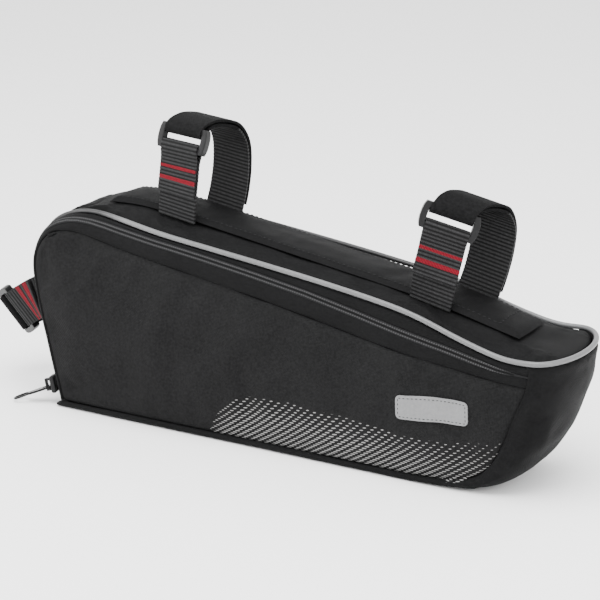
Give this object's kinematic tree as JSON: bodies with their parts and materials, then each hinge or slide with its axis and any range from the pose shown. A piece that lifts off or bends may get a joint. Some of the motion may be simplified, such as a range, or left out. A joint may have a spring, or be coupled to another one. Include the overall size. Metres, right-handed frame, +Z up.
{
  "type": "bicycle frame bag",
  "caption": "Wedge-shaped zipped cloth bag that hangs in a bicycle frame from webbing loops with hook-and-loop straps.",
  "frame": {"origin": "middle of the flat base's underside, where the bag stands on a surface", "axes": "+X along the bag towards its low nose, +Y to the far side away from the zip, +Z up"},
  "size_m": [0.3121, 0.063, 0.1465],
  "materials": {
    "side_cloth": "woven",
    "black_cloth": "woven",
    "zip": "woven",
    "reflective": "satin",
    "webbing": "ribbed weave",
    "strap": "woven",
    "plastic": "satin"
  },
  "bodies": {
    "bag": {"near_side_panel": "side_cloth", "far_side_panel": "side_cloth", "lower_zip_band": "black_cloth", "upper_zip_band": "black_cloth", "zip_tape": "zip", "top_panel": "black_cloth", "nose_and_base_panel": "black_cloth", "top_pad": "black_cloth", "side_patch": "reflective", "piping": "reflective", "zip_slider": "plastic", "left_near_webbing": "webbing", "left_far_webbing": "webbing", "left_strap": "strap", "left_buckle": "plastic", "right_near_webbing": "webbing", "right_far_webbing": "webbing", "right_strap": "strap", "right_buckle": "plastic", "end_near_webbing": "webbing", "end_far_webbing": "webbing", "end_strap": "strap", "end_buckle": "plastic"},
    "pull": {"zip_pull": "plastic"}
  },
  "joints": [
    {"name": "pull_swing", "type": "hinge", "parent": "bag", "child": "pull", "pos_m": [-0.12006, -0.0246, 0.00858], "axis": [0.3251, -0.9429, 0.0721], "range_deg": [-50, 55]}
  ]
}
